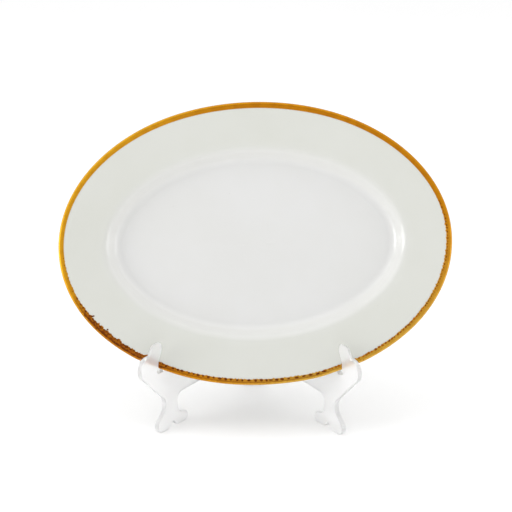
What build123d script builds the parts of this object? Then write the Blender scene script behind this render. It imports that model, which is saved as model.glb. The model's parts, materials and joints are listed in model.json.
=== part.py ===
from build123d import *
import os

# An oval porcelain serving platter that leans on a folding clear plastic stand.
# Millimetres, +Z up, the platter faces -Y. The origin is on the table, under the middle of the whole
# object's box. Everything is first built about the stand's hinge axis and then shifted there.

# Platter: an oval dish, measured inwards from its outer edge and down from its rim plane.
PLATTER_LENGTH = 360.0
PLATTER_WIDTH = 259.0
LIP_THICKNESS = 4.2
FLANGE_WIDTH = 43.5
FLANGE_DROP = 7.6
VERGE_WIDTH = 8.5
WELL_DEPTH = 18.5
BASE_THICKNESS = 4.3
PLATTER_HEIGHT = 25.0
FOOT_OUTER_INSET = 57.5
FOOT_WIDTH = 3.2
VERGE_RADIUS = 12.0
WELL_RADIUS = 11.0
CENTRE_DISC_INSET = 65.5
SWEEP_INSET = 69.5

# Platter back: how its corners stand off the face and the foot ring, and their radii.
UNDER_FLANGE_INSET = FLANGE_WIDTH - 3.0
UNDER_FLANGE_DROP = FLANGE_DROP + LIP_THICKNESS + 0.6
FOOT_ROOT_INSET = FOOT_OUTER_INSET - 3.5
FOOT_ROOT_RISE = 1.5
FOOT_DRAFT = 1.2
BACK_RADII = [14.0, 4.0, 1.0, 1.0, 0.8]

# Rim band: a thin fired glaze layer wrapped over the lip. It is cut from the lip by a region whose
# outside stands clear of the lip.
BAND_WIDTH = 5.5
BAND_BACK_WIDTH = 3.6
BAND_THICKNESS = 0.3
BAND_CLEAR = 3.0

# How the platter sits in the stand, about the hinge axis at table height.
PLATTER_CENTRE = (3.3, -76.5, 173.6)
PLATTER_LEAN = 21.0
PLATTER_ROLL = 2.1

# Stand: two flat moulded legs in a V, which fold about a pin behind the platter.
LEG_SPLAY = 35.0
LEG_THICKNESS = 5.0
FOLD_GAP = 0.3
EDGE_ROUND = 0.8
HOOK_TIP_THICKNESS = 2.6

# Hinge: the left leg has the lower and upper knuckles, and the right leg the middle one.
KNUCKLE_RADIUS = FOLD_GAP + LEG_THICKNESS
KNUCKLE_CLEARANCE = 1.0
WEB_OVERLAP = 2.0
KNUCKLE_GAP = 0.4
LOWER_KNUCKLE_TOP = 26.0
UPPER_KNUCKLE_BOTTOM = 52.0
BARREL_TOP = 78.0
PIN_RADIUS = 2.0
PIN_CLEARANCE = 0.05
PIN_SEAT = 4.0
PIN_HEAD_RADIUS = 3.8
PIN_HEAD_HEIGHT = 1.6
PIN_HEAD_ROUND = 1.2

# Leg outline: distance forwards from the hinge axis, height above the table, corner radius.
LEG_BACK = KNUCKLE_RADIUS + KNUCKLE_CLEARANCE
LEG_OUTLINE = [
    (LEG_BACK, 0.0, 1.0),       # rear foot
    (10.5, 0.0, 1.2),
    (24.0, 33.5, 16.0),         # arch between the feet
    (119.0, 32.0, 7.5),
    (118.0, 11.0, 9.0),         # back of the ankle
    (103.7, 9.8, 4.7),          # rear toe
    (103.7, 0.0, 4.7),
    (119.5, 0.0, 3.5),
    (125.0, 6.6, 1.8),          # cleft between the toes
    (130.5, 0.0, 3.5),
    (147.0, 0.0, 6.8),          # front toe
    (147.0, 10.2, 6.8),
    (130.2, 26.0, 11.8),        # front of the ankle
    (169.2, 65.0, 9.0),         # chest
    (169.2, 81.4, 10.5),
    (146.8, 81.4, 4.5),         # crest of the hook
    (146.8, 61.0, 3.0),         # cradle for the rim
    (139.6, 61.0, 2.5),
    (96.6, 95.0, 14.0),         # shoulder behind the platter
    (66.3, 160.0, 7.0),         # upright
    (50.0, 164.0, 7.0),
    (LEG_BACK, BARREL_TOP, 30.0),
]
# Hook tip: the thin finger that leans back over the rim, on the inner side of the leg.
HOOK_TIP_OUTLINE = [
    (156.0, 66.0, 2.0),
    (158.5, 82.0, 9.0),
    (152.5, 91.4, 5.0),
    (140.6, 91.4, 4.0),
    (139.3, 83.6, 6.0),
    (144.6, 73.0, 6.0),
    (145.4, 64.0, 1.5),
]


def rounded_outline(corners):
    """A closed face in the XZ plane, with the stated radius at each corner."""
    points = [(x, 0, z) for x, z, _ in corners]
    radii = [radius for _, _, radius in corners]
    return make_face(FilletPolyline(*points, radius=radii, close=True))


def swept_ring(profile):
    """Sweep a face drawn at the platter's right-hand end once round its oval edge."""
    edge_path = Ellipse(PLATTER_LENGTH / 2, PLATTER_WIDTH / 2).edge()
    at_right_end = Plane(origin=(PLATTER_LENGTH / 2, 0, 0), x_dir=(-1, 0, 0), z_dir=(0, 1, 0))
    return sweep(at_right_end * profile, path=edge_path)


def platter_profile(inner_inset):
    """Half of the platter's section: inset from the edge along x, height along y."""
    lip = LIP_THICKNESS / 2
    flange_end = (FLANGE_WIDTH, -FLANGE_DROP)
    well_start = (FLANGE_WIDTH + VERGE_WIDTH, -WELL_DEPTH)
    base = -WELL_DEPTH - BASE_THICKNESS
    face_line = FilletPolyline(
        (lip, 0), flange_end, well_start, (inner_inset, -WELL_DEPTH),
        radius=[VERGE_RADIUS, WELL_RADIUS],
    )
    edge_round = ThreePointArc((lip, -LIP_THICKNESS), (0, -lip), (lip, 0))
    foot_inner = FOOT_OUTER_INSET + FOOT_WIDTH
    back_line = FilletPolyline(
        (lip, -LIP_THICKNESS),
        (UNDER_FLANGE_INSET, -UNDER_FLANGE_DROP),
        (FOOT_ROOT_INSET, base + FOOT_ROOT_RISE),
        (FOOT_OUTER_INSET, -PLATTER_HEIGHT),
        (foot_inner, -PLATTER_HEIGHT),
        (foot_inner + FOOT_DRAFT, base),
        (inner_inset, base),
        radius=BACK_RADII,
    )
    inner_line = Line((inner_inset, -WELL_DEPTH), (inner_inset, base))
    return make_face([edge_round, face_line, inner_line, back_line])


def band_region():
    """Everything outside the porcelain that the band wraps, in the section's plane."""
    lip = LIP_THICKNESS / 2
    porcelain_radius = lip - BAND_THICKNESS
    flange_slope = FLANGE_DROP / (FLANGE_WIDTH - lip)
    front_step = -flange_slope * (BAND_WIDTH - lip)
    back_step = -LIP_THICKNESS - flange_slope * (BAND_BACK_WIDTH - lip)
    front_end = (BAND_WIDTH, front_step - BAND_THICKNESS)
    front_clear = (BAND_WIDTH, BAND_CLEAR)
    edge_front = (-BAND_CLEAR, BAND_CLEAR)
    edge_back = (-BAND_CLEAR, -LIP_THICKNESS - BAND_CLEAR)
    back_clear = (BAND_BACK_WIDTH, -LIP_THICKNESS - BAND_CLEAR)
    back_end = (BAND_BACK_WIDTH, back_step + BAND_THICKNESS)
    lip_front = (lip, -BAND_THICKNESS)
    lip_back = (lip, -LIP_THICKNESS + BAND_THICKNESS)
    front = [lip_front, front_end, front_clear, edge_front]
    back = [edge_back, back_clear, back_end, lip_back]
    straight = Polyline(*front, *back)
    round_lip = ThreePointArc(lip_back, (lip - porcelain_radius, -lip), lip_front)
    return make_face([straight, round_lip])


def platter_parts():
    """The porcelain body and its rim band, laid flat with the rim plane at z = 0."""
    ring = swept_ring(platter_profile(SWEEP_INSET))
    oval = Ellipse(PLATTER_LENGTH / 2 - CENTRE_DISC_INSET, PLATTER_WIDTH / 2 - CENTRE_DISC_INSET)
    centre_disc = extrude(oval, BASE_THICKNESS)
    whole = ring + Pos(0, 0, -WELL_DEPTH - BASE_THICKNESS) * centre_disc
    outside = swept_ring(band_region())
    return whole - outside, whole & outside


def slab(corners, thickness, edge_round):
    """A flat moulded plate from an outline, with its long edges rounded, from the inner face outwards."""
    plate = Pos(0, FOLD_GAP + thickness, 0) * extrude(rounded_outline(corners), thickness)
    rims = plate.faces().sort_by(Axis.Y)[0].edges() + plate.faces().sort_by(Axis.Y)[-1].edges()
    return fillet(rims, edge_round)


def post(radius, height):
    """An upright cylinder that stands on the XY plane."""
    return Cylinder(radius, height, align=(Align.CENTER, Align.CENTER, Align.MIN))


def knuckle(bottom, top):
    """One hinge knuckle round the axis, with the web that joins it to its leg."""
    height = top - bottom
    web = Box(LEG_BACK + WEB_OVERLAP, LEG_THICKNESS, height, align=(Align.MIN, Align.MIN, Align.MIN))
    return Pos(0, 0, bottom) * (post(KNUCKLE_RADIUS, height) + Pos(0, FOLD_GAP, 0) * web)


def leg(knuckles, bore_bottom):
    """The right-hand leg's shape in its own plane: x forwards, y outwards, z up."""
    plate = slab(LEG_OUTLINE, LEG_THICKNESS, EDGE_ROUND)
    tip = slab(HOOK_TIP_OUTLINE, HOOK_TIP_THICKNESS, EDGE_ROUND)
    shape = plate + tip
    for bottom, top in knuckles:
        shape += knuckle(bottom, top)
    return shape - Pos(0, 0, bore_bottom) * post(PIN_RADIUS + PIN_CLEARANCE, BARREL_TOP)


def hinge_pin():
    """A plain pin with a domed head, which drops in from the top of the barrel."""
    head_seat = BARREL_TOP + PIN_CLEARANCE
    head = post(PIN_HEAD_RADIUS, PIN_HEAD_HEIGHT)
    head = fillet(head.edges().sort_by(Axis.Z)[-1], PIN_HEAD_ROUND)
    return Pos(0, 0, PIN_SEAT) * post(PIN_RADIUS, head_seat - PIN_SEAT) + Pos(0, 0, head_seat) * head


def whole_object():
    """Every node in place about the hinge axis."""
    body, band = platter_parts()
    resting = Pos(*PLATTER_CENTRE) * Rot(90.0 - PLATTER_LEAN, 0, 0) * Rot(0, 0, PLATTER_ROLL)
    opened = Rot(0, 0, LEG_SPLAY - 90.0)
    lower = (0.0, LOWER_KNUCKLE_TOP)
    middle = (LOWER_KNUCKLE_TOP + KNUCKLE_GAP, UPPER_KNUCKLE_BOTTOM - KNUCKLE_GAP)
    upper = (UPPER_KNUCKLE_BOTTOM, BARREL_TOP)
    return {
        "platter_body": resting * body,
        "rim_band": resting * band,
        "left_leg": mirror(opened * leg([lower, upper], PIN_SEAT - PIN_CLEARANCE), about=Plane.YZ),
        "right_leg": opened * leg([middle], 0.0),
        "hinge_pin": hinge_pin(),
    }


nodes = whole_object()
box = Compound(children=[node.solid() for node in nodes.values()]).bounding_box()
to_row = Pos(-(box.min.X + box.max.X) / 2, -(box.min.Y + box.max.Y) / 2, -box.min.Z)
os.makedirs("parts", exist_ok=True)
for name, node in nodes.items():
    export_step(to_row * node.solid(), f"parts/{name}.step")
print("hinge axis at", to_row.position)
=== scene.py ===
import json
import math

import bpy
import numpy as np
from mathutils import Matrix, Vector


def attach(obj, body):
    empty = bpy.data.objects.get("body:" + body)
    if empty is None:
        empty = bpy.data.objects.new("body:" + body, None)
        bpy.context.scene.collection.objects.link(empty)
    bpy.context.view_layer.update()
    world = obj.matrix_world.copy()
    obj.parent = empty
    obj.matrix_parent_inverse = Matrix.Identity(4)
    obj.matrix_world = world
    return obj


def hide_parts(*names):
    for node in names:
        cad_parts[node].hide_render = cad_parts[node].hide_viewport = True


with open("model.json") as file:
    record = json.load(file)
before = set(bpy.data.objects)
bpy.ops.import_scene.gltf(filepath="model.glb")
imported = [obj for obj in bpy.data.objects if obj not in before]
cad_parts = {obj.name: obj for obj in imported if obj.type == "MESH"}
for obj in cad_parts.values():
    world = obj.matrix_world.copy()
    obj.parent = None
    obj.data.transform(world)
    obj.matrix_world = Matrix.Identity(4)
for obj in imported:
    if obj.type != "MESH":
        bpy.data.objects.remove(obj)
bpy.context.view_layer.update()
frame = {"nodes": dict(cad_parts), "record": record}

MM = 0.001
SEED = 7

# Platter: semi-axes of its outer edge and its section, in millimetres. Insets run inwards from the edge
# and heights run down from the rim plane.
HALF_LENGTH = 180.0
HALF_WIDTH = 129.5
LIP_RADIUS = 2.1
FLANGE_INSET = 43.5
FLANGE_DROP = 7.6
VERGE_INSET = 52.0
WELL_DEPTH = 18.5
BASE_DEPTH = 22.8
PLATTER_HEIGHT = 25.0
FOOT_OUTER_INSET = 57.5
FOOT_INNER_INSET = 60.7
FLAT_INSET = 66.0
FOOT_DRAFT = 1.2
WELL_BEND = 11.0
FLANGE_BEND = 12.0
FLAT_FLANGE_START = 9.0
UNDER_FLANGE_INSET = FLANGE_INSET - 3.0
UNDER_FLANGE_DROP = FLANGE_DROP + 2 * LIP_RADIUS + 0.6
FOOT_ROOT_INSET = FOOT_OUTER_INSET - 3.5
FOOT_ROOT_RISE = 1.5
BODY_STEPS = 540
PLATTER_ROLL = 2.1
FLANGE_SLOPE = FLANGE_DROP / (FLANGE_INSET - LIP_RADIUS)

# Rim band: how proud the glaze stands, how its front edge fades, how far it reaches on the back, and how
# far its hidden inner side lies under the porcelain's surface.
BAND_WIDTH = 5.4
BAND_PROUD = 0.14
BAND_SINK = 0.02
BAND_FADE = 0.7
BAND_BACK_INSET = 3.6
BAND_BURIED = 0.45
BAND_STEPS = 2880
LUSTRE_GAIN = 1.12

# Speckles: how high each kind stands, and how many drops crowd the lower left.
BEAD_HEIGHT = 0.26
DROP_HEIGHT = 0.24
RUN_HEIGHT = 0.18
SPIKE_HEIGHT = 0.2
CROWD_COUNT = 170

# Stand plastic: how much of the light goes straight through rather than into its cloudy inside.
MILKY_TRANSMISSION = 0.70

# Camera: where it stands about the point that it looks at, in degrees and metres, and its lens.
CAMERA_AZIMUTH = 1.42
CAMERA_ELEVATION = 20.0
CAMERA_DISTANCE = 1.5
CAMERA_LENS = 115.6


def serving_face():
    """Where the well floor is and which way it faces, from the record."""
    for mount in frame["record"]["mounts"]:
        if mount["name"] == "serving_face":
            return Vector(mount["pos_m"]), Vector(mount["axis"]).normalized()


def platter_matrix():
    """The platter's own frame: x along its length, y across, z out of its face, origin in the rim plane."""
    floor_point, normal = serving_face()
    level = Vector((1.0, 0.0, 0.0))
    up = normal.cross(level)
    roll = math.radians(PLATTER_ROLL)
    x_axis = level * math.cos(roll) + up * math.sin(roll)
    y_axis = normal.cross(x_axis)
    rotation = Matrix((x_axis, y_axis, normal)).transposed().to_4x4()
    origin = floor_point + normal * WELL_DEPTH * MM
    return Matrix.Translation(origin) @ rotation


def bump(degrees, centre, width):
    """A smooth hump round the rim, 1 at centre and fading over width, all in degrees from the right."""
    gap = (degrees - centre + 180.0) % 360.0 - 180.0
    return np.exp(-0.5 * (gap / width) ** 2)


def span(degrees, start, end, soft):
    """1 between two bearings going anticlockwise, with soft ends."""
    middle, half = (start + end) / 2, (end - start) / 2
    gap = np.abs((degrees - middle + 180.0) % 360.0 - 180.0)
    return np.clip((half - gap) / soft + 0.5, 0, 1)


def bearing(angle):
    """The compass bearing of an ellipse angle as seen from the platter's middle, degrees from the right."""
    return np.degrees(np.arctan2(HALF_WIDTH * np.sin(angle), HALF_LENGTH * np.cos(angle))) % 360.0


def shoulder(degrees):
    """How far the hand-finished rim swells beyond a true oval at each bearing."""
    lower = 1.3 * bump(degrees, 204, 14) + 0.5 * bump(degrees, 226, 8) + 0.9 * span(degrees, 288, 346, 24)
    upper = 0.4 * bump(degrees, 50, 14) + 0.5 * bump(degrees, 130, 14)
    # The rim stays true where it rests in the stand's two cradles.
    cradled = np.maximum(span(degrees, 225, 238, 5), span(degrees, 297, 309, 5))
    return (lower + upper) * (1 - 0.85 * cradled)


def oval(angle, inset):
    """Points on the platter's edge curve moved inwards by inset; the rim's swell fades out by the verge."""
    inset = inset - shoulder(bearing(angle)) * np.clip(1 - inset / FLANGE_INSET, 0, 1)
    c, s = np.cos(angle), np.sin(angle)
    length = np.hypot(HALF_WIDTH * c, HALF_LENGTH * s)
    x = HALF_LENGTH * c - inset * HALF_WIDTH * c / length
    y = HALF_WIDTH * s - inset * HALF_LENGTH * s / length
    return x, y


def even_angles(count):
    """Ellipse angles that are evenly spaced along the platter's edge."""
    fine = np.linspace(0, 2 * math.pi, 20001)
    x, y = oval(fine, 0.0)
    run = np.concatenate([[0], np.cumsum(np.hypot(np.diff(x), np.diff(y)))])
    return np.interp(np.arange(count) * run[-1] / count, run, fine), run[-1]


def rounded_path(corners, arc_points=9):
    """Points along a polyline of (x, y, radius) corners with each corner turned into an arc."""
    points = [np.array(corners[0][:2])]
    for before, corner, after in zip(corners, corners[1:], corners[2:]):
        here = np.array(corner[:2])
        back = np.array(before[:2]) - here
        ahead = np.array(after[:2]) - here
        back, ahead = back / np.linalg.norm(back), ahead / np.linalg.norm(ahead)
        half = math.acos(np.clip(back @ ahead, -1, 1)) / 2
        reach = corner[2] / math.tan(half)
        middle = here + (back + ahead) / np.linalg.norm(back + ahead) * corner[2] / math.sin(half)
        start, end = here + back * reach - middle, here + ahead * reach - middle
        turn = math.atan2(start[0] * end[1] - start[1] * end[0], start @ end)
        for step in np.linspace(0, turn, arc_points):
            c, s = math.cos(step), math.sin(step)
            points.append(middle + np.array([c * start[0] - s * start[1], s * start[0] + c * start[1]]))
    points.append(np.array(corners[-1][:2]))
    return np.array(points)


def mesh_object(name, vertices, faces, matrix=None):
    """A smooth-shaded object from arrays in millimetres."""
    mesh = bpy.data.meshes.new(name)
    mesh.from_pydata((np.asarray(vertices) * MM).tolist(), [], faces)
    mesh.validate()
    mesh.polygons.foreach_set("use_smooth", [True] * len(mesh.polygons))
    mesh.update()
    piece = bpy.data.objects.new(name, mesh)
    if matrix is not None:
        piece.matrix_world = matrix
    bpy.context.scene.collection.objects.link(piece)
    return piece


def point_colours(piece, name, colours):
    """A linear colour attribute on a piece's points."""
    layer = piece.data.color_attributes.new(name, "FLOAT_COLOR", "POINT")
    with_alpha = np.column_stack([colours, np.ones(len(colours))])
    layer.data.foreach_set("color", with_alpha.astype(np.float32).ravel())


def point_values(piece, name, values):
    """A float attribute on a piece's points, which its material reads."""
    layer = piece.data.attributes.new(name, "FLOAT", "POINT")
    layer.data.foreach_set("value", np.asarray(values, dtype=np.float32))


def ring_faces(rings, around, closed_section=False):
    """Quads between neighbouring rings of points, each ring closed round the platter."""
    faces = []
    last = rings if closed_section else rings - 1
    for ring in range(last):
        low, high = ring * around, ((ring + 1) % rings) * around
        for i in range(around):
            j = (i + 1) % around
            faces.append((low + i, high + i, high + j, low + j))
    return faces


# --- Porcelain body ------------------------------------------------------------------------------------

def flange_height(inset):
    """The height of the flange's face at an inset from the edge."""
    return -FLANGE_SLOPE * (inset - LIP_RADIUS)


def body_section():
    """The porcelain's section from the flat of the well, over the lip, to the flat of the back."""
    lip = LIP_RADIUS
    under_band = lip - 0.25     # the glaze band lies over the lip
    front = rounded_path([
        (FLAT_INSET, -WELL_DEPTH, 0),
        (VERGE_INSET, -WELL_DEPTH, WELL_BEND),
        (FLANGE_INSET, -FLANGE_DROP, FLANGE_BEND),
        (FLAT_FLANGE_START, flange_height(FLAT_FLANGE_START), 0),
    ], 14)
    flange = [(inset, flange_height(inset)) for inset in np.linspace(36, FLAT_FLANGE_START, 10)]
    edge = [(lip - under_band * math.sin(a), -lip + under_band * math.cos(a))
            for a in np.linspace(0, math.pi, 13)]
    back = rounded_path([
        (lip, -lip - under_band, 0),
        (UNDER_FLANGE_INSET, -UNDER_FLANGE_DROP, 14.0),
        (FOOT_ROOT_INSET, -BASE_DEPTH + FOOT_ROOT_RISE, 4.0),
        (FOOT_OUTER_INSET, -PLATTER_HEIGHT, 0.9),
        (FOOT_INNER_INSET, -PLATTER_HEIGHT, 0.9),
        (FOOT_INNER_INSET + FOOT_DRAFT, -BASE_DEPTH, 0.8),
        (FLAT_INSET, -BASE_DEPTH, 0),
    ], 7)
    return np.vstack([front[:-1], flange[1:], edge, back[1:]])


def porcelain_body():
    """The glazed dish, as one closed mesh of rings round the oval."""
    around = BODY_STEPS
    angle, _ = even_angles(around)
    section = body_section()
    vertices = []
    for inset, height in section:
        x, y = oval(angle, inset)
        # The hand-finished clay is never quite true: two slow waves, fading out at the lip.
        fade = np.clip((inset - 6.0) / 30.0, 0, 1)
        wave = 0.10 * np.sin(2 * angle + 0.7) + 0.07 * np.sin(5 * angle + 2.1)
        vertices.append(np.stack([x, y, height + fade * wave], axis=1))
    inner_front, inner_back = vertices[0], vertices[-1]
    shrink = (0.8, 0.55, 0.3, 0.1)
    front_rings = [inner_front * [k, k, 1] for k in reversed(shrink)]
    back_rings = [inner_back * [k, k, 1] for k in shrink]
    rings = front_rings + vertices + back_rings
    faces = ring_faces(len(rings), around)
    points = np.vstack(rings)
    front_hub, back_hub = len(points), len(points) + 1
    points = np.vstack([points, [[0, 0, -WELL_DEPTH]], [[0, 0, -BASE_DEPTH]]])
    last = (len(rings) - 1) * around
    for i in range(around):
        j = (i + 1) % around
        faces.append((front_hub, i, j))
        faces.append((back_hub, last + j, last + i))
    piece = mesh_object("porcelain_body", points, faces, platter_matrix())
    # Mask for the painted shade: 0 on the flange, which is painted a darker white, 1 in the well.
    in_well = np.clip((section[:, 0] - 38.0) / 12.0, 0, 1)
    ring_values = np.concatenate([np.ones(len(shrink)), in_well, np.ones(len(shrink))])
    point_values(piece, "in_well", np.append(np.repeat(ring_values, around), [1.0, 1.0]))
    # Mask for the painted highlight in the bend of the verge, on the front face only.
    facing = np.arange(len(section)) < len(section) // 2
    verge_painted_highlight = np.exp(-0.5 * ((section[:, 0] - 47.7) / 3.0) ** 2) * facing
    ring_values = np.concatenate([np.zeros(len(shrink)), verge_painted_highlight, np.zeros(len(shrink))])
    point_values(piece, "verge_painted_highlight", np.append(np.repeat(ring_values, around), [0.0, 0.0]))
    return piece


# --- Rim band ------------------------------------------------------------------------------------------

# Four shades of the one glaze, red, green, blue: amber where it lies even, honey where it thins on the
# left, brown where it pools at the lower left, and straw at the lower right.
AMBER = (190, 125, 10)
HONEY = (205, 150, 30)
BROWN = (175, 110, 15)
STRAW = (195, 150, 55)


def glaze_colour(degrees):
    """The linear colour of the glaze at each bearing: amber, drifting to its other shades round the rim."""
    mixed = np.tile(np.array(colour(*AMBER)[:3]), (len(degrees), 1))
    drifts = [(HONEY, span(degrees, 115, 205, 50)), (BROWN, span(degrees, 202, 236, 16)),
              (STRAW, span(degrees, 265, 350, 40))]
    for shade, share in drifts:
        mixed += share[:, None] * (np.array(colour(*shade)[:3]) - mixed)
    return mixed


def band_width(degrees):
    """The smooth width of the band's front, before drips."""
    wider = 0.35 * bump(degrees, 90, 35) + 0.65 * bump(degrees, 212, 9) + 0.3 * bump(degrees, 345, 9)
    narrower = 0.45 * bump(degrees, 172, 16) + 0.35 * bump(degrees, 301, 14) + 0.4 * bump(degrees, 8, 8)
    lower = 0.25 * span(degrees, 188, 335, 12)
    return BAND_WIDTH + wider - narrower - lower


def drips(angle, rng):
    """Small tongues of glaze along the inner edge: fine at the bottom, coarse and dense at lower left."""
    total = np.zeros_like(angle)
    _, perimeter = even_angles(len(angle))
    step = perimeter / len(angle)
    place = 0.0
    while place < perimeter:
        here = np.interp(place / step, np.arange(len(angle)), angle)
        at = bearing(here)
        coarse = float(span(at, 200, 231, 6))
        lower = float(span(at, 186, 372, 10))
        height = rng.uniform(0.1, 0.9) * lower + rng.uniform(0.0, 1.2) ** 2 * coarse
        spread = rng.uniform(0.35, 0.9)
        gap = (np.arange(len(angle)) * step - place + perimeter / 2) % perimeter - perimeter / 2
        total += height * np.exp(-0.5 * (gap / spread) ** 2)
        place += rng.uniform(1.2, 3.0) if coarse > 0.3 else rng.uniform(2.2, 4.6)
    return total


def rim_band():
    """The fired amber glaze: a thin shell over the front of the flange, the lip and a little of the back."""
    rng = np.random.default_rng(SEED)
    angle, _ = even_angles(BAND_STEPS)
    degrees = bearing(angle)
    width = band_width(degrees) + drips(angle, rng)
    front_count, lip_count, back_count = 18, 13, 5
    insets, heights = [], []
    for share in np.linspace(1, 0, front_count):
        inset = LIP_RADIUS + (width - LIP_RADIUS) * share
        proud = BAND_PROUD * np.sqrt(np.clip((width - inset) / BAND_FADE, 0, 1))
        insets.append(inset)
        heights.append(flange_height(inset) + proud - BAND_SINK)
    radius = LIP_RADIUS + 0.05
    for turn in np.linspace(0, math.pi, lip_count)[1:-1]:
        insets.append(np.full_like(angle, LIP_RADIUS - radius * math.sin(turn)))
        thicker = 0.07 * math.cos(turn / 2) ** 4
        heights.append(np.full_like(angle, -LIP_RADIUS + radius * math.cos(turn) + thicker))
    for share in np.linspace(0, 1, back_count):
        inset = LIP_RADIUS + (BAND_BACK_INSET - LIP_RADIUS) * share
        insets.append(np.full_like(angle, inset))
        heights.append(np.full_like(angle, -2 * LIP_RADIUS - 0.05 * (1 - share ** 2)))
    # The hidden inner side, just inside the porcelain's surface.
    insets.append(np.full_like(angle, BAND_BACK_INSET - 0.4))
    heights.append(np.full_like(angle, -2 * LIP_RADIUS + BAND_BURIED))
    for turn in np.linspace(math.pi, 0, 7):
        insets.append(np.full_like(angle, LIP_RADIUS - (LIP_RADIUS - 0.5) * math.sin(turn)))
        heights.append(np.full_like(angle, -LIP_RADIUS + (LIP_RADIUS - 0.5) * math.cos(turn)))
    insets.append(width - 0.5)
    heights.append(flange_height(width - 0.5) - BAND_BURIED)
    vertices = []
    for inset, height in zip(insets, heights):
        x, y = oval(angle, inset)
        vertices.append(np.stack([x, y, height], axis=1))
    faces = ring_faces(len(vertices), BAND_STEPS, closed_section=True)
    piece = mesh_object("rim_glaze_band", np.vstack(vertices), faces, platter_matrix())
    point_values(piece, "inset", np.concatenate(insets))
    point_values(piece, "from_inner", np.concatenate([width - inset for inset in insets]))
    layers = len(insets)
    crowded = span(degrees, 199, 233, 9)
    top = span(degrees, 35, 135, 40)
    mid_line = 0.65 * span(degrees, 232, 305, 24) + 0.30 * top + crowded
    point_values(piece, "mid_line", np.tile(mid_line, layers))
    point_values(piece, "mottle", np.tile(crowded, layers))
    point_values(piece, "spots", np.tile(span(degrees, 196, 340, 20), layers))
    point_colours(piece, "glaze", np.tile(glaze_colour(degrees), (layers, 1)))
    return piece


def dome(centre, along, across, out, length, breadth, height):
    """Points and faces of one low oval bead of glaze, sunk a little into the surface."""
    around, rings = 12, 4
    points = []
    for ring in range(rings):
        tilt = ring / rings * math.pi / 2
        for i in range(around):
            a = 2 * math.pi * i / around
            flat = along * (length * math.cos(a)) + across * (breadth * math.sin(a))
            points.append(centre + flat * math.cos(tilt) + out * (height * math.sin(tilt)))
    points.append(centre + out * height)
    points.append(centre - out * height * 0.8)
    faces = []
    for ring in range(rings - 1):
        for i in range(around):
            j = (i + 1) % around
            lower, upper = ring * around, (ring + 1) * around
            faces.append((lower + i, lower + j, upper + j, upper + i))
    top = (rings - 1) * around
    for i in range(around):
        j = (i + 1) % around
        faces.append((top + i, top + j, rings * around))
        faces.append((j, i, rings * around + 1))
    return points, faces


def speckles():
    """The row of dark beads along the band's inner edge, from the far left round the bottom to the right."""
    rng = np.random.default_rng(SEED + 1)
    count = 6000
    angle, perimeter = even_angles(count)
    step = perimeter / count
    points, faces, shades = [], [], []

    def add(place, inset, length, breadth, height, turn, shade):
        a = np.interp(place / step % count, np.arange(count), angle)
        x, y = oval(np.array([a - 1e-4, a, a + 1e-4]), inset)
        along = np.array([x[2] - x[0], y[2] - y[0], 0.0])
        along /= np.linalg.norm(along)
        inward = np.array([-along[1], along[0], 0.0])
        out = np.array([0.0, 0.0, 1.0])
        c, s = math.cos(turn), math.sin(turn)
        centre = np.array([x[1], y[1], flange_height(inset) + BAND_PROUD * 0.6])
        turned, crosswise = c * along + s * inward, c * inward - s * along
        new_points, new_faces = dome(centre, turned, crosswise, out, length, breadth, height)
        first = len(points)
        points.extend(new_points)
        faces.extend([tuple(first + k for k in face) for face in new_faces])
        shades.extend([shade] * len(new_points))

    def along_rim(degrees):
        return np.argmin(np.abs(bearing(angle) - degrees % 360.0)) * step

    def inner_edge(place):
        return float(band_width(bearing(np.interp(place / step, np.arange(count), angle))))

    # The row of beads: start and end bearings, spacing, half length, half breadth, depth in from the band's
    # inner edge, and shade from dark (0) to orange (1).
    rows = [
        (183, 198, 7.0, 0.55, 0.5, 0.7, 0.15),
        (196, 204, 5.4, 1.0, 0.95, 0.6, 0.0),
        (204, 233, 3.4, 0.95, 0.75, 0.3, 0.1),
        (233, 275, 5.4, 1.4, 1.35, 1.0, 0.0),
        (275, 297, 6.4, 1.9, 1.1, 1.2, 0.1),
        (297, 338, 3.6, 1.25, 1.2, 0.7, 0.4),
        (338, 372, 3.0, 0.68, 0.62, 1.05, 0.15),
    ]
    for start, end, spacing, length, breadth, depth, shade in rows:
        place, last = along_rim(start), along_rim(end) + (perimeter if end > 360 else 0.0)
        while place < last:
            at = place % perimeter
            edge = inner_edge(at)
            size = rng.uniform(0.72, 1.12)
            stretch = rng.uniform(0.85, 1.25)
            inset = edge - depth + rng.uniform(-0.25, 0.25)
            turn = rng.uniform(-0.45, 0.45)
            darkness = np.clip(shade + rng.uniform(-0.15, 0.2), 0, 1)
            add(at, inset, length * size * stretch, breadth * size / stretch, BEAD_HEIGHT, turn, darkness)
            place += spacing * rng.uniform(0.7, 1.3)

    # The crowded lower left: long dark runs along the middle of the band, and drops that point inwards.
    for run in range(CROWD_COUNT):
        at = along_rim(rng.uniform(201, 232))
        edge = inner_edge(at)
        if run % 2:
            add(at, rng.normal(2.6, 0.5), rng.uniform(0.8, 2.0), rng.uniform(0.3, 0.5), RUN_HEIGHT,
                rng.uniform(-0.25, 0.25), rng.uniform(0.0, 0.15))
        else:
            add(at, edge - rng.uniform(-0.3, 1.3), rng.uniform(0.55, 1.05), rng.uniform(0.3, 0.45),
                SPIKE_HEIGHT, rng.uniform(1.0, 1.9), rng.uniform(0.0, 0.7))
    # A long drop that hangs inwards from the band, and one that strayed onto the white.
    hanging = along_rim(203.0)
    edge = float(band_width(203.0))
    for further in range(3):
        add(hanging + 0.5 * further, edge + 0.2 + 0.8 * further, 1.1, 0.7, DROP_HEIGHT, 1.1, 0.05)
    add(along_rim(209.5), float(band_width(209.5)) + 1.9, 0.9, 0.75, DROP_HEIGHT, 0.3, 0.1)
    piece = mesh_object("rim_speckles", np.array(points), faces, platter_matrix())
    point_values(piece, "shade", shades)
    return piece


# --- Materials -----------------------------------------------------------------------------------------

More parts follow.
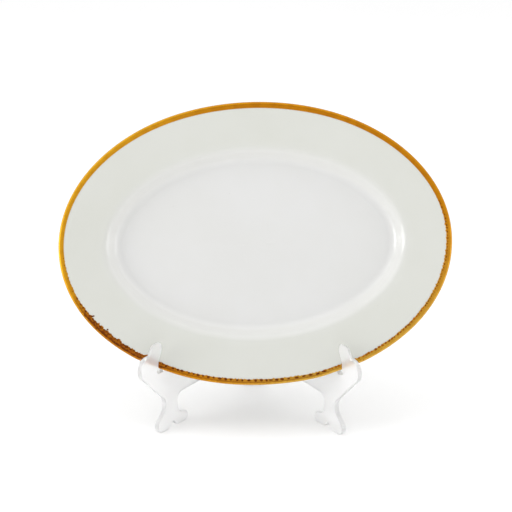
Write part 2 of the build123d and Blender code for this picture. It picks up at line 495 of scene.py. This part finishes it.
class Graph:
    """A short way to write a material's node tree."""

    def __init__(self, name):
        self.material = bpy.data.materials.new(name)
        self.material.use_nodes = True
        self.nodes = self.material.node_tree.nodes
        self.links = self.material.node_tree.links
        self.shader = self.nodes["Principled BSDF"]
        self.output = self.nodes["Material Output"]

    def add(self, kind, **settings):
        node = self.nodes.new(kind)
        for key, value in settings.items():
            setattr(node, key, value)
        return node

    def feed(self, socket, value):
        """Links an output into a socket, or sets the socket's own value."""
        if isinstance(value, bpy.types.NodeSocket):
            self.links.new(value, socket)
        else:
            socket.default_value = value

    def math(self, operation, *values, clamp=False):
        node = self.add("ShaderNodeMath", operation=operation, use_clamp=clamp)
        for socket, value in zip(node.inputs, values):
            self.feed(socket, value)
        return node.outputs[0]

    def mix(self, share, low, high, blend="MIX"):
        node = self.add("ShaderNodeMix", data_type="RGBA", blend_type=blend)
        node.clamp_factor = True
        self.feed(node.inputs["Factor"], share)
        self.feed(node.inputs["A"], low)
        self.feed(node.inputs["B"], high)
        return node.outputs["Result"]

    def smooth(self, value, low, high, start=0.0, end=1.0):
        """start to end, smoothly, as value goes from low to high."""
        node = self.add("ShaderNodeMapRange", interpolation_type="SMOOTHSTEP")
        self.feed(node.inputs["Value"], value)
        for key, number in (("From Min", low), ("From Max", high), ("To Min", start), ("To Max", end)):
            self.feed(node.inputs[key], number)
        return node.outputs["Result"]

    def place(self, scale=(1, 1, 1)):
        node = self.add("ShaderNodeMapping")
        self.links.new(self.add("ShaderNodeTexCoord").outputs["Object"], node.inputs["Vector"])
        node.inputs["Scale"].default_value = scale
        return node.outputs["Vector"]

    def noise(self, vector, scale, detail=4.0, roughness=0.55):
        node = self.add("ShaderNodeTexNoise")
        self.feed(node.inputs["Vector"], vector)
        self.feed(node.inputs["Scale"], scale)
        self.feed(node.inputs["Detail"], detail)
        self.feed(node.inputs["Roughness"], roughness)
        return node.outputs["Fac"]

    def attribute(self, name):
        return self.add("ShaderNodeAttribute", attribute_name=name).outputs["Fac"]

    def colour_attribute(self, name):
        return self.add("ShaderNodeAttribute", attribute_name=name).outputs["Color"]

    def bump(self, height, strength, distance):
        node = self.add("ShaderNodeBump")
        self.feed(node.inputs["Height"], height)
        node.inputs["Strength"].default_value = strength
        node.inputs["Distance"].default_value = distance
        return node.outputs["Normal"]

    def set(self, **values):
        for name, value in values.items():
            self.feed(self.shader.inputs[name.replace("_", " ")], value)


def colour(red, green, blue):
    """A linear colour from display values of 0 to 255."""
    def linear(value):
        value /= 255
        return value / 12.92 if value <= 0.04045 else ((value + 0.055) / 1.055) ** 2.4
    return (linear(red), linear(green), linear(blue), 1.0)


def porcelain_material():
    """White glazed china: faint cloudy warmth, painted shade on the flange and a painted highlight in the
    verge, rare iron specks, and a bare biscuit foot ring.
    """
    g = Graph("glazed_porcelain")
    here = g.place()
    cloud = g.noise(here, 14.0, 3.0)
    # Painted shade: the flange's white is a darker, warmer copy of the well's white, standing in for the
    # shade on the sloping flange.
    well_white = g.mix(g.smooth(cloud, 0.3, 0.7), colour(214, 214, 213), colour(212, 212, 210))
    flange_painted_shade_white = g.mix(g.smooth(cloud, 0.3, 0.7), colour(207, 208, 202), colour(205, 206, 199))
    white = g.mix(g.attribute("in_well"), flange_painted_shade_white, well_white)
    # Painted highlight: the bend of the verge is painted whiter, standing in for the sheen it catches from
    # the lights.
    white = g.mix(g.attribute("verge_painted_highlight"), white, colour(223, 223, 220))
    specks = g.noise(here, 900.0, 1.0)
    white = g.mix(g.smooth(specks, 0.80, 0.84, 0.0, 0.5), white, colour(150, 140, 120))
    parts = g.add("ShaderNodeSeparateXYZ")
    g.links.new(here, parts.inputs[0])
    bare = g.smooth(parts.outputs["Z"], -0.0243, -0.0248)
    grain = g.noise(here, 1600.0, 2.0)
    biscuit = g.mix(grain, colour(214, 208, 194), colour(228, 223, 212))
    g.set(Base_Color=g.mix(bare, white, biscuit))
    gloss = g.smooth(g.noise(here, 60.0, 3.0), 0.2, 0.8, 0.13, 0.20)
    g.set(Roughness=g.smooth(bare, 0.0, 1.0, gloss, 0.75))
    ripple = g.math("ADD", g.noise(here, 34.0, 2.0), g.math("MULTIPLY", g.noise(here, 420.0, 2.0), 0.012))
    g.set(IOR=1.52, Normal=g.bump(ripple, 0.30, 0.0006), Coat_Weight=0.25, Coat_Roughness=0.05)
    return g.material


def band_material():
    """Amber-gold lustre: browner inwards, with a brown line in its middle and a dark crowd at lower left."""
    g = Graph("amber_gold_glaze")
    here = g.place()
    inset = g.attribute("inset")
    from_inner = g.attribute("from_inner")
    glaze = g.colour_attribute("glaze")
    streak = g.noise(here, 110.0, 5.0)
    fleck = g.noise(here, 760.0, 4.0, 0.6)
    uneven = g.math("ADD", inset, g.math("MULTIPLY", g.math("SUBTRACT", g.noise(here, 300.0, 3.0), 0.5), 1.2))

    def tint(share, shade, under):
        return g.mix(share, under, g.mix(1.0, under, shade, "MULTIPLY"))

    amber = tint(g.smooth(streak, 0.35, 0.68, 0.0, 0.7), (0.82, 0.75, 0.6, 1.0), glaze)
    amber = tint(g.smooth(fleck, 0.52, 0.72, 0.0, 0.6), (0.84, 0.77, 0.65, 1.0), amber)
    amber = tint(g.smooth(uneven, 1.8, 4.6, 0.0, 0.9), (0.90, 0.82, 0.7, 1.0), amber)
    # Painted highlight: the band is painted paler and yellower towards its outer lip, standing in for the
    # light the rounded lip catches.
    lip = g.smooth(uneven, 1.9, 0.2, 0.0, 0.55)
    amber = g.mix(lip, amber, g.mix(1.0, amber, (1.25, 1.5, 2.4, 1.0), "MULTIPLY"))
    from_middle = g.math("ABSOLUTE", g.math("SUBTRACT", uneven, 2.5))
    line = g.math("MULTIPLY", g.smooth(from_middle, 1.1, 0.1), g.attribute("mid_line"))
    amber = tint(line, (0.52, 0.34, 0.14, 1.0), amber)
    spots = g.math("MULTIPLY", g.smooth(g.noise(here, 620.0, 2.0), 0.60, 0.68), g.attribute("spots"))
    amber = tint(g.math("MULTIPLY", spots, 0.75), (0.55, 0.35, 0.15, 1.0), amber)
    blotch = g.smooth(g.noise(here, 330.0, 4.0, 0.65), 0.40, 0.56)
    crowd = g.math("MULTIPLY", g.math("MULTIPLY", blotch, g.attribute("mottle")), g.smooth(uneven, 1.2, 2.0))
    maroon = g.mix(g.smooth(g.noise(here, 520.0, 2.0), 0.38, 0.6), colour(92, 38, 8), colour(150, 74, 10))
    amber = g.mix(g.math("MULTIPLY", crowd, 0.95, clamp=True), amber, maroon)
    # The glaze thins to a pale olive line where it ends on the white.
    amber = g.mix(g.smooth(from_inner, 0.45, 0.05, 0.0, 0.45), amber, colour(196, 172, 104))
    bright = g.mix(1.0, amber, (LUSTRE_GAIN, LUSTRE_GAIN, LUSTRE_GAIN, 1.0), "MULTIPLY")
    g.set(Base_Color=bright, Metallic=0.75, Roughness=g.smooth(fleck, 0.3, 0.7, 0.28, 0.42))
    g.set(IOR=1.5, Specular_IOR_Level=0.25, Normal=g.bump(g.noise(here, 420.0, 3.0), 0.35, 0.0003))
    return g.material


def speckle_material():
    """Iron-brown beads in the glaze, from near black to orange."""
    g = Graph("iron_speckle_glaze")
    here = g.place()
    cloud = g.noise(here, 900.0, 3.0)
    dark = g.mix(g.smooth(cloud, 0.35, 0.65), colour(84, 36, 6), colour(122, 62, 8))
    light = g.mix(cloud, colour(176, 98, 8), colour(204, 126, 18))
    shade = g.smooth(g.attribute("shade"), 0.1, 0.8)
    g.set(Base_Color=g.mix(shade, dark, light), Metallic=0.1, Roughness=0.5)
    g.set(IOR=1.5, Specular_IOR_Level=0.05, Normal=g.bump(g.noise(here, 1500.0, 2.0), 0.3, 0.0002))
    return g.material


def plastic_material(name, tint, haze):
    """Translucent moulded plastic: cloudy inside, lightly frosted, with faint handling smears and scuffs."""
    g = Graph(name)
    here = g.place()
    smear = g.noise(here, 26.0, 4.0)
    scuff = g.noise(g.place((1.0, 1.0, 9.0)), 260.0, 3.0)
    smeared = g.smooth(smear, 0.35, 0.7, haze, haze + 0.08)
    rough = g.math("ADD", smeared, g.smooth(scuff, 0.66, 0.74, 0.0, 0.06))
    g.set(Base_Color=g.mix(smear, tint, colour(253, 253, 253)), Roughness=rough)
    g.set(Transmission_Weight=MILKY_TRANSMISSION, IOR=1.35, Normal=g.bump(smear, 0.06, 0.0008))
    return g.material


# --- Pieces --------------------------------------------------------------------------------------------

def dress(piece, material):
    piece.data.materials.clear()
    piece.data.materials.append(material)


def add_to_platter(piece, material, slot, *nodes):
    dress(piece, material)
    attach(piece, "platter")
    if nodes:
        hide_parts(*nodes)


add_to_platter(porcelain_body(), porcelain_material(), "porcelain", "platter_body")
add_to_platter(rim_band(), band_material(), "rim_glaze", "rim_band")
add_to_platter(speckles(), speckle_material(), "rim_glaze")

leg_plastic = plastic_material("clear_plastic", colour(254, 254, 254), 0.30)
pin_plastic = plastic_material("pin_plastic", colour(244, 246, 246), 0.26)
for node_name, plastic in (("left_leg", leg_plastic), ("right_leg", leg_plastic), ("hinge_pin", pin_plastic)):
    node = frame["nodes"][node_name]
    for material_slot in node.material_slots:
        material_slot.material = plastic


# --- Floor, light and camera ---------------------------------------------------------------------------

def floor():
    """A wide, plain, pale paper floor."""
    count, radius = 96, 9.0
    turn = np.arange(count) * 2 * math.pi / count
    rim = np.stack([radius * np.cos(turn), radius * np.sin(turn), np.zeros(count)], axis=1) / MM
    paper = mesh_object("floor", rim, [tuple(range(count))])
    g = Graph("floor_paper")
    here = g.place()
    tone = g.mix(g.noise(here, 3.0), colour(254, 254, 254), colour(252, 252, 252))
    g.set(Base_Color=tone, Roughness=0.9, Specular_IOR_Level=0.1)
    g.set(Emission_Color=(1.0, 1.0, 1.0, 1.0), Emission_Strength=0.10)
    g.set(Normal=g.bump(g.noise(here, 900.0), 0.05, 0.0003))
    dress(paper, g.material)


def studio_world():
    """Even white light all round, brightest near the horizon."""
    world = bpy.data.worlds.new("studio")
    world.use_nodes = True
    nodes, links = world.node_tree.nodes, world.node_tree.links
    direction = nodes.new("ShaderNodeTexCoord")
    parts = nodes.new("ShaderNodeSeparateXYZ")
    glow = nodes.new("ShaderNodeMapRange")
    glow.interpolation_type = "SMOOTHSTEP"
    for key, number in (("From Min", 0.04), ("From Max", 0.45), ("To Min", 0.90), ("To Max", 0.83)):
        glow.inputs[key].default_value = number
    links.new(direction.outputs["Generated"], parts.inputs[0])
    links.new(parts.outputs["Z"], glow.inputs["Value"])
    links.new(glow.outputs["Result"], nodes["Background"].inputs["Strength"])
    nodes["Background"].inputs["Color"].default_value = (1.0, 1.0, 1.0, 1.0)
    bpy.context.scene.world = world


def soft_light(name, at, aim, size, power, tint=(1.0, 1.0, 1.0)):
    data = bpy.data.lights.new(name, "AREA")
    data.shape = "RECTANGLE"
    data.size, data.size_y = size
    data.energy = power
    data.color = tint
    lamp = bpy.data.objects.new(name, data)
    lamp.location = at
    lamp.rotation_euler = (Vector(aim) - Vector(at)).to_track_quat("-Z", "Y").to_euler()
    bpy.context.scene.collection.objects.link(lamp)


def camera():
    """The viewing angle: 20 degrees above level, a little to the right, from 1.5 m."""
    platter_centre = platter_matrix().translation
    aim = platter_centre + Vector((0.0012, -0.0059, -0.0103))
    azimuth, elevation = math.radians(CAMERA_AZIMUTH), math.radians(CAMERA_ELEVATION)
    back = Vector((math.sin(azimuth) * math.cos(elevation), -math.cos(azimuth) * math.cos(elevation),
                   math.sin(elevation)))
    data = bpy.data.cameras.new("camera")
    data.sensor_width = 36.0
    data.lens = CAMERA_LENS
    view = bpy.data.objects.new("camera", data)
    view.location = aim + back * CAMERA_DISTANCE
    view.rotation_euler = (-back).to_track_quat("-Z", "Y").to_euler()
    bpy.context.scene.collection.objects.link(view)
    bpy.context.scene.camera = view


floor()
studio_world()
platter_level = (0.0, 0.0, 0.17)
soft_light("top_light", (0.0, -0.4, 2.2), platter_level, (1.8, 1.8), 6.0)
soft_light("upper_left_light", (-1.6, -0.5, 1.8), platter_level, (1.4, 1.4), 5.1)
soft_light("upper_right_light", (1.6, -0.5, 1.8), platter_level, (1.4, 1.4), 2.9)
soft_light("left_light", (-2.2, -0.9, 0.5), platter_level, (1.2, 1.0), 14.5)
soft_light("right_light", (2.2, -0.9, 0.5), platter_level, (1.2, 1.0), 6.5)
bpy.context.scene.view_settings.view_transform = "Standard"
camera()
